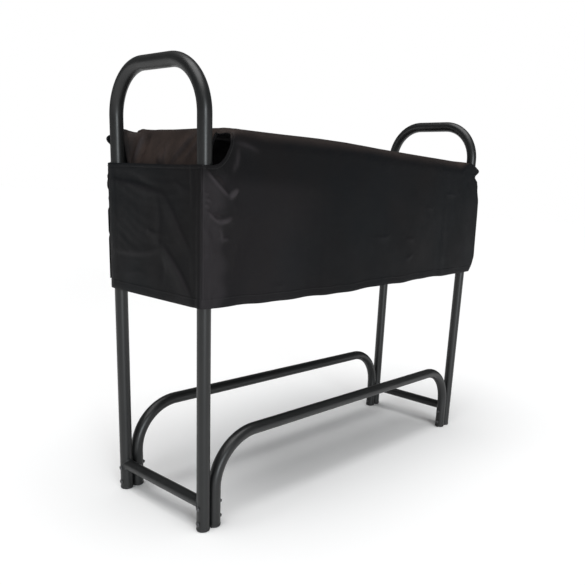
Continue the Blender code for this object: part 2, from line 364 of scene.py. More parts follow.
def make_crossbars(coat, weld):
    """Crossbars coped to the uprights, with the weld bead round each end."""
    for side in ("left", "right"):
        node = side + "_crossbar"
        middle = centre(node)
        y_axis = centre(side + "_rear_upright_foot_plug").y
        bm = bmesh.new()
        skins = []
        for radius in (CROSSBAR_R, CROSSBAR_R - TUBE_WALL):
            shares = [i / (CROSSBAR_STEPS - 1) for i in range(CROSSBAR_STEPS)]
            rings = [crossbar_ring(middle, y_axis, radius, share) for share in shares]
            skins.append([[bm.verts.new(point) for point in ring] for ring in rings])
        close_tube(bm, *skins)
        new_object(node + "_coated", bm, "frame", coat, smooth_angle=40, node=node)
        for depth, sign in (("front", -1), ("rear", 1)):
            make_weld(f"{side}_{depth}_crossbar_weld", middle, sign * y_axis, -sign, weld)


def make_weld(name, middle, y_axis, inward, weld):
    """A rippled fillet bead where the bar meets the upright."""
    bm = bmesh.new()
    rings = []
    for a in round_turn(WELD_SEGS):
        out = Vector((math.cos(a), 0, math.sin(a)))
        base = Vector((middle.x, coped_y(a, CROSSBAR_R, y_axis, inward), middle.z)) + out * CROSSBAR_R
        ripple = 0.16 * math.sin(a * 26) + 0.10 * math.sin(a * 5 + 1.3)
        size = WELD_R * (1 + ripple)
        inwards = Vector((0, inward, 0))
        around = [math.cos(b) * out + math.sin(b) * inwards for b in round_turn(WELD_RING_SEGS)]
        rings.append([bm.verts.new(base + size * way) for way in around])
    bridge_all(bm, rings + rings[:1])
    new_object(name, bm, "frame", weld)


# ================================================================================= fastenings
def dome(radius, height, steps):
    """Profile of a domed head, from its middle to its rim."""
    angles = [math.pi / 2 * i / steps for i in range(steps + 1)]
    return [(radius * math.sin(a), height * (1 - math.cos(a))) for a in angles]


def thread_radius(share_round, height, length):
    """Radius of the thread at a height along the bolt, smaller at the tip."""
    phase = (height / THREAD_PITCH - share_round) % 1.0
    depth = THREAD_DEPTH * abs(2 * phase - 1)
    taper = min(1.0, (length - height) / BOLT_TIP) * 0.25 + 0.75
    return (BOLT_R - depth) * taper


def make_bolt(node, steel):
    """Domed bolt with a rolled thread past the nut."""
    low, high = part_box(node)
    middle = (low + high) / 2
    inward = -1 if middle.x > 0 else 1
    outside = high.x if middle.x > 0 else low.x
    length = high.x - low.x
    plain = length - THREAD_LENGTH
    profile = dome(BOLT_HEAD_R, BOLT_HEAD_H * 0.75, BOLT_HEAD_STEPS)
    profile += [(BOLT_HEAD_R, BOLT_HEAD_H * 0.92), (BOLT_HEAD_R - 0.0003, BOLT_HEAD_H)]
    profile += [(BOLT_R, BOLT_HEAD_H), (BOLT_R, plain)]
    bm = bmesh.new()
    lathe(bm, profile, lambda a, b, h: (outside + inward * h, middle.y + a, middle.z + b), BOLT_SEGS)
    previous = bm.verts[:][-BOLT_SEGS:]
    steps = int(THREAD_LENGTH / THREAD_PITCH * THREAD_RINGS)
    for step in range(1, steps + 1):
        height = plain + THREAD_LENGTH * step / steps
        ring = []
        for k, a in enumerate(round_turn(BOLT_SEGS)):
            r = thread_radius(k / BOLT_SEGS, height, length)
            point = (outside + inward * height, middle.y + r * math.cos(a), middle.z + r * math.sin(a))
            ring.append(bm.verts.new(point))
        bridge(bm, previous, ring)
        previous = ring
    bm.faces.new(previous)
    new_object(node + "_turned", bm, "frame", steel, smooth_angle=30, node=node)


def hexagon_radius(flats, angle):
    return flats / math.cos(angle % (math.pi / 3) - math.pi / 6)


def make_nut(node, steel):
    """Hexagon nut whose corners are turned off at both faces."""
    low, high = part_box(node)
    middle = (low + high) / 2
    flats = (high.z - low.z) / 2
    bore = BOLT_R + 0.0002
    face = flats * 0.93
    turned = [(d, flats * 0.985 + d * 1.7) for d in (0.0001, 0.0004, 0.0008)]
    rows = [(low.x, bore + NUT_CHAMFER), (low.x, face)]
    rows += [(low.x + depth, limit) for depth, limit in turned]
    rows += [(high.x - depth, limit) for depth, limit in reversed(turned)]
    rows += [(high.x, face), (high.x, bore + NUT_CHAMFER)]
    rows += [(high.x - NUT_CHAMFER, bore), (low.x + NUT_CHAMFER, bore)]
    bm = bmesh.new()
    rings = []
    for x, limit in rows:
        ring = []
        for a in round_turn(NUT_SEGS):
            r = min(hexagon_radius(flats, a), limit)
            ring.append(bm.verts.new((x, middle.y + r * math.cos(a), middle.z + r * math.sin(a))))
        rings.append(ring)
    bridge_all(bm, rings + rings[:1])
    new_object(node + "_hex", bm, "frame", steel, smooth_angle=28, node=node)


def make_plug(node, plastic):
    """Foot plug with a rounded rim, a shallow moulded dish underneath and a stem in the tube."""
    low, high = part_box(node)
    middle = (low + high) / 2
    radius = (high.x - low.x) / 2
    flat_r = radius - PLUG_EDGE_R
    flange, top = high.z - PLUG_STEM_H, high.z
    stem = TUBE_R - TUBE_WALL - FIT_GAP
    profile = [(0.0, PLUG_LIP), (PLUG_DISH_R, PLUG_LIP), (PLUG_DISH_R + 0.0004, 0.0), (flat_r, 0.0)]
    profile += [(flat_r + r, h) for r, h in dome(PLUG_EDGE_R, PLUG_EDGE_R, PLUG_EDGE_STEPS)[1:]]
    profile += [(radius, flange - PLUG_LIP), (radius - PLUG_LIP, flange), (stem, flange)]
    profile += [(stem, top - 0.0005), (stem - 0.0005, top), (0.0, top)]
    bm = bmesh.new()
    lathe(bm, profile, lambda a, b, h: (middle.x + a, middle.y + b, h), PLUG_SEGS)
    new_object(node + "_moulded", bm, "frame", plastic, smooth_angle=40, node=node)


def make_fastenings(steel, plastic):
    for name in sorted(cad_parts):
        if name.endswith("_bolt"):
            make_bolt(name, steel)
        elif name.endswith("_nut"):
            make_nut(name, steel)
        elif name.endswith("_foot_plug"):
            make_plug(name, plastic)


# ================================================================================= cover cloth
COVER_LOW, COVER_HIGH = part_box("cover")
HALF_X = COVER_HIGH.x
HALF_Y = COVER_HIGH.y
HEM_Z = COVER_LOW.z - 0.006
TOP_Z = COVER_HIGH.z
SLOT_Z = 0.942            # top edge of the left end wall
SLOT_X = 0.6065           # slot edge between the uprights
SLOPE_START_X = 0.548     # where the top turns down towards a slot
SLOPE_DROP = 0.108
LEFT_CORNER_R = 0.0245
RIGHT_CORNER_R = 0.0090
FOLD_R = 0.046            # soft shoulder along the front and rear of the top
FLAP_FOLD_R = 0.007       # tighter where the cloth passes in front of an upright
OPENING_X = -0.569        # right-hand side of the opening beside the left front upright
OPENING_TOP_Z = 1.026
OPENING_R = 0.054
KEEP_IN_X = 0.6095        # between these two the arches slide through the slots
KEEP_OUT_X = 0.6505
KEEP_OUT_Y = 0.2025
CLOTH_T = 0.0011
SKIRT_ROWS = 40
SLOT_ROW = SKIRT_ROWS - 1
UPPER_ROWS = 9
RIGHT_SLOT_ROWS = 4       # the right end wall is this many rows taller
FOLD_ROWS = 9
TOP_ROWS = 28
TOP_LUMP = 0.005
END_COLUMNS = 38

# ---- how the cloth is let settle --------------------------------------------------------------
SLACK = 0.006             # the cloth is this much larger than the shape it starts from
SETTLE_FRAMES = 26
SETTLE_CAP = 0.014        # no point moves further than this
LOAD_X, LOAD_Y, LOAD_H = 0.598, 0.1975, 0.55
LOAD_GAP = 0.003


# ---- trim and look of the cover; each profile is (past the edge, above the cloth) ---------------
STITCH_PITCH = 0.0048
STITCH_LENGTH = 0.0034
STITCH_R = 0.00042
STITCH_SEGS = 6
STITCH_PROFILE = [(-0.5, 0.35), (-0.32, 0.9), (0.0, 1.0), (0.32, 0.9), (0.5, 0.35)]
TRIM_STEP = 0.0045
HALF_CLOTH = CLOTH_T / 2
EDGE_TAPE = [(-0.0090, HALF_CLOTH + 0.0001), (-0.0086, HALF_CLOTH + 0.0008), (-0.0040, HALF_CLOTH + 0.0009),
             (0.0000, HALF_CLOTH + 0.0009), (0.0010, HALF_CLOTH + 0.0004), (0.0010, -HALF_CLOTH - 0.0004),
             (0.0000, -HALF_CLOTH - 0.0009), (-0.0040, -HALF_CLOTH - 0.0009), (-0.0086, -HALF_CLOTH - 0.0008),
             (-0.0090, -HALF_CLOTH - 0.0001)]
HEM = [(-0.0240, HALF_CLOTH - 0.0002), (-0.0236, HALF_CLOTH + 0.0007), (-0.0160, HALF_CLOTH + 0.0008),
       (-0.0080, HALF_CLOTH + 0.0008), (0.0000, HALF_CLOTH + 0.0008), (0.0007, HALF_CLOTH + 0.0002),
       (0.0007, -HALF_CLOTH - 0.0002), (0.0000, -HALF_CLOTH - 0.0008), (-0.0080, -HALF_CLOTH - 0.0008),
       (-0.0160, -HALF_CLOTH - 0.0008), (-0.0236, -HALF_CLOTH - 0.0007), (-0.0240, -HALF_CLOTH + 0.0002)]
SEAM = [(-0.0045, HALF_CLOTH - 0.0004), (-0.0034, HALF_CLOTH + 0.0002), (-0.0008, HALF_CLOTH + 0.0005),
        (0.0008, HALF_CLOTH + 0.0005), (0.0034, HALF_CLOTH + 0.0002), (0.0045, HALF_CLOTH - 0.0004)]
WEAVE_TURNS = 2 * math.pi / 0.0011
COVER_BLUE = (0.0034, 0.0045, 0.0057)
COVER_BROWN = (0.0057, 0.0052, 0.0057)
COVER_THREADS = (0.020, 0.020, 0.021)
# painted top light: warm pale tint for what faces up
COVER_PAINTED_TOP_LIGHT = (0.070, 0.049, 0.041)
# painted sheen: pale colour mixed in for painted highlights on corners, ridges and the left panels
COVER_PAINTED_SHEEN = (0.0370, 0.0330, 0.0360)
COVER_MARKS = (0.026, 0.025, 0.025)
CREASE_FULL = 0.005       # a crease this high gets the full painted highlight along its ridge
RIDGE_W = 0.0055
# how far the painted sheen band reaches from an upright
PAINTED_SHEEN_REACH = 0.070


def smooth(low, high, x):
    t = np.clip((np.asarray(x, float) - low) / (high - low), 0.0, 1.0)
    return t * t * (3 - 2 * t)


def hump(x, at, width):
    return np.exp(-((np.asarray(x, float) - at) / width) ** 2)


def fade(points, x):
    """Smooth curve through a few (place, value) points."""
    places, values = zip(*points)
    fine = np.linspace(places[0], places[-1], 240)
    line = np.interp(fine, places, values)
    kernel = np.hanning(11)
    line = np.convolve(np.pad(line, 5, mode="edge"), kernel / kernel.sum(), mode="valid")
    return np.interp(x, fine, line)


def corner_inset_at_45(radius):
    return radius * (1 - math.sqrt(0.5))


def rounding(gap, radius):
    """How far a rounded corner draws in at this gap from the corner's outer face."""
    d = np.clip(gap, 0, radius)
    return radius - np.sqrt(np.maximum(radius ** 2 - (radius - d) ** 2, 0))


def column_places():
    """Column places along the cover, closer together by the corners."""
    near = 0.5925
    left = np.linspace(corner_inset_at_45(LEFT_CORNER_R) - HALF_X, -near, 10)
    right = np.linspace(near, HALF_X - corner_inset_at_45(RIGHT_CORNER_R), 10)
    middle = np.linspace(-near, near, 113)
    places = np.concatenate([left[:-1], middle, right[1:]])
    places[np.argmin(np.abs(places - OPENING_X))] = OPENING_X
    return places


def hem_height(x):
    """The hem hangs level on the left and is pulled up towards the right."""
    rise = fade([(-0.66, -0.002), (-0.45, 0.000), (-0.20, 0.001), (-0.03, 0.007), (0.16, 0.015),
                 (0.36, 0.022), (0.50, 0.027), (0.66, 0.031)], x)
    wave = 0.0016 * np.sin(21 * x + 0.7) * smooth(-0.6, -0.2, x) + 0.0009 * np.sin(47 * x + 2.0)
    return HEM_Z + rise + wave


def crown_height(x):
    return fade([(-0.66, 1.035), (-0.59, 1.037), (-0.53, 1.038), (-0.40, 1.042), (-0.22, 1.048),
                 (-0.11, 1.050), (0.07, 1.048), (0.60, 1.049), (0.66, 1.046)], x)


def right_bulge(z):
    """The cloth stands away from the right end, and nips in at the slot."""
    return fade([(0.60, 0.006), (0.640, 0.012), (0.665, 0.031), (0.70, 0.044), (0.76, 0.040),
                 (0.86, 0.035), (0.916, 0.031), (0.953, 0.014), (0.980, 0.008), (1.000, -0.034),
                 (1.020, 0.014), (1.050, -0.014)], z)


def rear_left_edge(z):
    """The flap's free edge hides behind the upright, apart from one small lobe."""
    return fade([(0.60, 0.0), (0.938, 0.0), (0.956, 0.024), (0.984, 0.022), (1.004, -0.010),
                 (1.022, 0.020), (1.05, 0.030)], z)


def corner_inset(x, z, flap):
    """How far the rounded corner draws the front or rear in; a flap above a slot lies flat."""
    radius = np.where(np.asarray(x) < 0, LEFT_CORNER_R, RIGHT_CORNER_R)
    flat = smooth(0.945, 0.965, z) * flap
    return rounding(HALF_X - np.abs(x), radius) * (1 - flat)


def panel_depth(x, z, side):
    """Distance of the front (side -1) or rear (side 1) panel from the middle plane."""
    flap = 1.0 if side > 0 else smooth(0.0, 0.1, x)
    depth = HALF_Y - corner_inset(x, z, flap)
    below = 1 - smooth(0.84, 0.95, z)
    if side < 0:
        depth = depth + 0.0180 * hump(x, -0.577, 0.050) * below
        depth = depth + 0.0050 * hump(x, -0.44, 0.10) * below
        depth = depth + 0.0040 * hump(x, 0.22, 0.30) * hump(z, 0.80, 0.16)
        depth = depth + 0.0050 * hump(x, -0.20, 0.22) * hump(z, 0.92, 0.10)
    else:
        depth = depth + 0.0060 * hump(x, -0.15, 0.30) * hump(z, 0.78, 0.18)
        depth = depth + 0.0050 * hump(x, 0.38, 0.16) * hump(z, 0.86, 0.12)
    lie = 0.0022 * np.sin(8.3 * x + 14 * z + side) + 0.0016 * np.sin(17 * x - 9 * z + 2 * side)
    lie = lie * (0.5 if side < 0 else 1.0)
    return depth + lie * smooth(0.02, 0.12, HALF_X - np.abs(x))


def fold_radius(x, side):
    tight_left = 0.0 if side < 0 else smooth(-0.52, -0.595, x)
    tight = np.maximum(smooth(0.52, 0.595, x), tight_left)
    return FOLD_R + (FLAP_FOLD_R - FOLD_R) * tight


def slope_drop(x, y):
    """How far the top falls towards each slot, between the uprights."""
    share = np.clip((np.abs(x) - SLOPE_START_X) / (SLOT_X - SLOPE_START_X), 0, 1)
    gap = SLOT_X - np.abs(x)
    hip = np.where(np.asarray(y) < 0, 0.187 - 0.785 * gap, 0.197 - 0.5 * gap)
    inside = 1 - smooth(-0.026, 0.004, np.abs(y) - hip) * 0.98
    return SLOPE_DROP * share ** 1.25 * inside


def opening_shift(x, z):
    """Round the lower corner of the opening beside the left front upright."""
    cx, cz = OPENING_X - OPENING_R, SLOT_Z + OPENING_R
    dx, dz = x - cx, z - cz
    rho = np.hypot(dx, dz) + 1e-9
    square = OPENING_R / np.maximum(np.maximum(np.abs(dx), np.abs(dz)) / rho, 1e-6)
    inside = (dx > 0) & (dz < 0) & (rho > square - 1e-4)
    pull = np.where(inside, (square - OPENING_R) * np.clip(1 - (rho - square) / 0.045, 0, 1) ** 2, 0)
    return x - pull * dx / rho, z - pull * dz / rho


def pointed_corner(x, z, side):
    """Draw the upper corner of that opening out to a point."""
    if side > 0:
        return 0.0
    return 0.016 * hump(x, OPENING_X, 0.016) * hump(z, OPENING_TOP_Z, 0.010)


def panel_rows(x, side):
    """Rows of points up one side, from the hem to the start of the shoulder."""
    rows = []
    hem = hem_height(x) if side < 0 else HEM_Z + 0.004 * np.sin(5 * x) + 0.004 * smooth(0, 0.6, x)
    start = crown_height(x) - fold_radius(x, side) - 0.017 * smooth(0.612, 0.655, np.abs(x))
    for k in range(SKIRT_ROWS):
        share = k / (SKIRT_ROWS - 1)
        base = HEM_Z + (SLOT_Z - HEM_Z) * share
        rows.append(base + (hem - HEM_Z) * (1 - smooth(0.0, 0.75, share)))
    for k in range(1, UPPER_ROWS + 1):
        rows.append(SLOT_Z + (start - SLOT_Z) * k / UPPER_ROWS)
    return rows


def panel_points(x, side):
    out = []
    for z in panel_rows(x, side):
        px, pz = x.copy(), z.copy()
        py = side * panel_depth(px, pz, side)
        if side < 0:
            px, pz = opening_shift(px, pz)
            px = px + right_bulge(pz) * smooth(0.50, HALF_X, x)
        else:
            px = px + 0.6 * right_bulge(pz) * smooth(0.50, HALF_X, x)
            px = px + rear_left_edge(pz) * smooth(-0.60, -HALF_X, x)
        out.append(np.stack([px, py, pz], axis=1))
    return out


def shoulder_rows(x, side):
    """Rows round the soft fold from a panel to the top."""
    crown = crown_height(x)
    radius = fold_radius(x, side)
    edge = panel_depth(x, crown - radius, side)
    rows = []
    for k in range(1, FOLD_ROWS + 1):
        a = math.pi / 2 * k / FOLD_ROWS
        y = side * (edge - radius + radius * math.cos(a))
        z = crown - radius + radius * math.sin(a)
        z = z - slope_drop(x, y)
        rows.append(np.stack([x + pointed_corner(x, z, side), y, z], axis=1))
    return rows


def top_rows(x):
    """Front shoulder, top and rear shoulder."""
    crown = crown_height(x)
    front, rear = shoulder_rows(x, -1), shoulder_rows(x, 1)
    middle = []
    for k in range(1, TOP_ROWS):
        share = k / TOP_ROWS
        y = front[-1][:, 1] + (rear[-1][:, 1] - front[-1][:, 1]) * share
        lump = TOP_LUMP * np.sin(math.pi * share) * np.sin(11 * x + 5 * share) * smooth(0.60, 0.45, np.abs(x))
        middle.append(np.stack([x, y, crown + lump - slope_drop(x, y)], axis=1))
    return front + middle + rear[::-1]


def rows_beside_opening():
    """Shoulder rows that lie below the top of the opening beside the upright."""
    start = float(crown_height(OPENING_X)) - FOLD_R
    heights = [start + FOLD_R * math.sin(math.pi / 2 * k / FOLD_ROWS) for k in range(1, FOLD_ROWS + 1)]
    return sum(1 for z in heights if z < OPENING_TOP_Z)


def cover_grid():
    """Points and faces of the whole cloth: one strip over the top, and a wall at each end."""
    x = column_places()
    front = panel_points(x, -1)
    rear = panel_points(x, 1)
    rows = front + top_rows(x) + rear[::-1]
    points = np.concatenate(rows)
    columns, count = len(x), len(rows)
    panel = SKIRT_ROWS + UPPER_ROWS
    slot_left = int(np.argmin(np.abs(x + SLOT_X)))
    slot_right = int(np.argmin(np.abs(x - SLOT_X)))
    opening = int(np.argmin(np.abs(x - OPENING_X)))
    opening_rows = rows_beside_opening()
    faces = []
    for r in range(count - 1):
        on_front, on_rear = r + 1 < panel, r >= count - panel
        start, stop = slot_left, slot_right
        if on_front or on_rear:
            start, stop = 0, columns - 1
        if SLOT_ROW <= r < panel - 1 + opening_rows:
            start = opening
        for c in range(start, stop):
            low, high = r * columns + c, (r + 1) * columns + c
            faces.append((low, low + 1, high + 1, high))
    points = list(points)
    for side, last_row in ((-1, SLOT_ROW), (1, SLOT_ROW + RIGHT_SLOT_ROWS)):
        column = 0 if side < 0 else columns - 1
        faces += end_wall(points, columns, count, column, last_row, side)
    return np.array(points), faces


def end_wall(points, columns, count, column, last_row, side):
    """Wall across one end, joined to the strip's corner columns; adds its points to the list."""
    radius = LEFT_CORNER_R if side < 0 else RIGHT_CORNER_R
    lattice = []
    for r in range(last_row + 1):
        a, b = r * columns + column, (count - 1 - r) * columns + column
        line = [a]
        for j in range(1, END_COLUMNS):
            share = j / END_COLUMNS
            y = points[a][1] + (points[b][1] - points[a][1]) * share
            z = points[a][2] + (points[b][2] - points[a][2]) * share
            out = HALF_X - float(rounding(HALF_Y - abs(y), radius))
            if side > 0:
                out += float(right_bulge(z)) * (1.0 - 0.4 * share)
            out += 0.0015 * math.sin(13 * y + 9 * z) * float(smooth(0.0, 0.06, HALF_Y - abs(y)))
            line.append(len(points))
            points.append(np.array([side * out, y, z]))
        line.append(b)
        lattice.append(line)
    faces = []
    for low, high in zip(lattice, lattice[1:]):
        for j in range(END_COLUMNS):
            faces.append((low[j], low[j + 1], high[j + 1], high[j]))
    return faces


def cloth_mesh(points, faces):
    """Mesh with unused grid points dropped and every face looking outwards."""
    used = sorted({i for face in faces for i in face})
    index = {old: new for new, old in enumerate(used)}
    bm = bmesh.new()
    verts = [bm.verts.new(points[i]) for i in used]
    for face in faces:
        bm.faces.new([verts[index[i]] for i in face])
    bmesh.ops.recalc_face_normals(bm, faces=bm.faces)
    bm.normal_update()
    top = max(bm.faces, key=lambda f: f.calc_center_median().z)
    if top.normal.z < 0:
        bmesh.ops.reverse_faces(bm, faces=bm.faces)
    return mesh_from(bm, "cover_cloth"), index


def positions(mesh):
    flat = np.empty(len(mesh.vertices) * 3)
    mesh.vertices.foreach_get("co", flat)
    return flat.reshape(-1, 3)


def normals_of(mesh):
    flat = np.empty(len(mesh.vertices) * 3)
    mesh.vertices.foreach_get("normal", flat)
    return flat.reshape(-1, 3)


def bake_modifier(ob, modifier):
    """Keep the shape that the object's one modifier gives it."""
    shaped = bpy.data.meshes.new_from_object(ob.evaluated_get(bpy.context.evaluated_depsgraph_get()))
    ob.modifiers.remove(modifier)
    ob.data = shaped


def surface_of(mesh):
    return BVHTree.FromPolygons([v.co for v in mesh.vertices], [p.vertices for p in mesh.polygons])


def distances_along(line):
    return np.concatenate([[0], np.cumsum(np.linalg.norm(np.diff(line, axis=0), axis=1))])


def points_at(line, at, want):
    """Points of a line at the wanted distances along it."""
    return np.stack([np.interp(want, at, line[:, i]) for i in range(3)], axis=1)


def set_positions(mesh, points):
    mesh.vertices.foreach_set("co", np.ascontiguousarray(points, dtype=np.float32).ravel())
    mesh.update()


def clear_of_arches(points):
    """Keep the cloth out of the upright passages that the arches slide through."""
    x, y = points[:, 0], points[:, 1]
    within = np.abs(y) < KEEP_OUT_Y - 0.0004
    bad = within & (np.abs(x) > KEEP_IN_X) & (np.abs(x) < KEEP_OUT_X)
    outward = np.abs(x) > (KEEP_IN_X + KEEP_OUT_X) / 2
    limit = np.where(outward, KEEP_OUT_X, KEEP_IN_X)
    to_front = bad & (KEEP_OUT_Y - np.abs(y) < 0.012) & (np.abs(np.abs(x) - limit) > KEEP_OUT_Y - np.abs(y))
    points[:, 1] = np.where(to_front, np.sign(y) * KEEP_OUT_Y, y)
    sideways = bad & ~to_front
    points[:, 0] = np.where(sideways, np.sign(x) * limit, x)
    return points


def block_mesh(name, cuts, place):
    """A finely divided cube, each point of it moved by `place`."""
    bm = bmesh.new()
    bmesh.ops.create_cube(bm, size=1.0)
    bmesh.ops.subdivide_edges(bm, edges=bm.edges, cuts=cuts, use_grid_fill=True)
    for v in bm.verts:
        v.co = place(v.co)
    return mesh_from(bm, name)


def soft_load(share):
    """Stand-in for what is stacked under the cover: rounded lumps, for the cloth to lie on."""
    x, y, z = share.x * 2 * LOAD_X, share.y * 2 * LOAD_Y, share.z * LOAD_H
    lump = 0.006 * math.sin(23 * x + 3 * z) * math.sin(29 * z + 1.0 + 5 * x)
    top = float(crown_height(x)) - LOAD_GAP - float(slope_drop(x, 0.5 * y))
    height = top - LOAD_H / 2 + z
    return x * (1 + 0.2 * lump), y * (1 + 2.5 * lump), height + 0.5 * lump


def passage(end):
    """The room that an arch needs in its slot, as something the cloth can't enter."""
    def place(share):
        x = end * (KEEP_IN_X + KEEP_OUT_X) / 2 + share.x * (KEEP_OUT_X - KEEP_IN_X - 0.004)
        return x, share.y * 2 * (KEEP_OUT_Y - 0.002), 0.85 + share.z * 0.8
    return place


def add_colliders():
    blocks = [block_mesh("load", 24, soft_load)]
    blocks += [block_mesh("left_passage", 6, passage(-1)), block_mesh("right_passage", 6, passage(1))]
    helpers = []
    for mesh in blocks:
        helper = bpy.data.objects.new(mesh.name, mesh)
        bpy.context.scene.collection.objects.link(helper)
        helper.modifiers.new("collision", "COLLISION")
        helper.collision.thickness_outer = 0.0015
        helper.collision.cloth_friction = 12
        helpers.append(helper)
    return helpers


def settle(cloth):
    """Let the cloth hang under gravity, a little larger than its pattern, then keep that shape."""
    scene = bpy.context.scene
    start = positions(cloth.data).copy()
    helpers = add_colliders()
    hold = cloth.vertex_groups.new(name="hold")
    for index, weight in enumerate(hold_weights(start)):
        hold.add([index], float(weight), "REPLACE")
    modifier = cloth.modifiers.new("cloth", "CLOTH")
    settings = modifier.settings
    settings.quality = 7
    settings.mass = 0.25
    settings.tension_stiffness = 30
    settings.compression_stiffness = 30
    settings.shear_stiffness = 15
    settings.bending_stiffness = 0.6
    settings.air_damping = 3
    settings.shrink_min = -SLACK
    settings.vertex_group_mass = "hold"
    settings.pin_stiffness = 0.6
    modifier.collision_settings.distance_min = 0.0015
    modifier.collision_settings.collision_quality = 3
    modifier.point_cache.frame_start = 1
    modifier.point_cache.frame_end = SETTLE_FRAMES
    for number in range(1, SETTLE_FRAMES + 1):
        scene.frame_set(number)
    settled = cloth.evaluated_get(bpy.context.evaluated_depsgraph_get())
    end = positions(settled.data).copy()
    cloth.modifiers.remove(modifier)
    for helper in helpers:
        bpy.data.objects.remove(helper)
    scene.frame_set(1)
    move = end - start
    length = np.linalg.norm(move, axis=1, keepdims=True)
    move *= np.minimum(1.0, SETTLE_CAP / np.maximum(length, 1e-9))
    set_positions(cloth.data, clear_of_arches(start + move * settle_share(start)[:, None]))


def hold_weights(points):
    """Edges and corners are held near their first places; the panels are free to settle."""
    x, y, z = np.abs(points[:, 0]), np.abs(points[:, 1]), points[:, 2]
    weights = np.full(len(points), 0.12)
    weights = np.maximum(weights, 0.55 * smooth(0.045, 0.0, np.abs(x - SLOT_X)) * (z > 0.93))
    weights = np.maximum(weights, 0.45 * smooth(0.05, 0.0, HALF_X - x))
    weights = np.maximum(weights, 0.35 * smooth(0.985, 1.02, z))
    weights = np.maximum(weights, 0.30 * smooth(0.67, 0.63, z))
    return weights


def settle_share(points):
    """The front is drawn taut between its corners; the ends, the corners and the rear keep every fold."""
    x, y, z = points[:, 0], points[:, 1], points[:, 2]
    taut = smooth(-0.13, -0.17, y) * smooth(-0.56, -0.44, x)
    share = 1 - 0.92 * taut
    shoulder = smooth(0.97, 1.00, z) * smooth(0.05, -0.05, y)
    wrapped = smooth(0.09, 0.03, np.hypot(x + HALF_X, y - HALF_Y))
    return share * (1 - 0.6 * shoulder) * (1 - 0.85 * wrapped)


# ---- creases, each a line of points on the cloth with its height and the width on either side -
def left_wall(*points):
    return [(-HALF_X, y, z) for y, z in points]


def front_left(*points):
    return [(x, -HALF_Y - 0.004, z) for x, z in points]


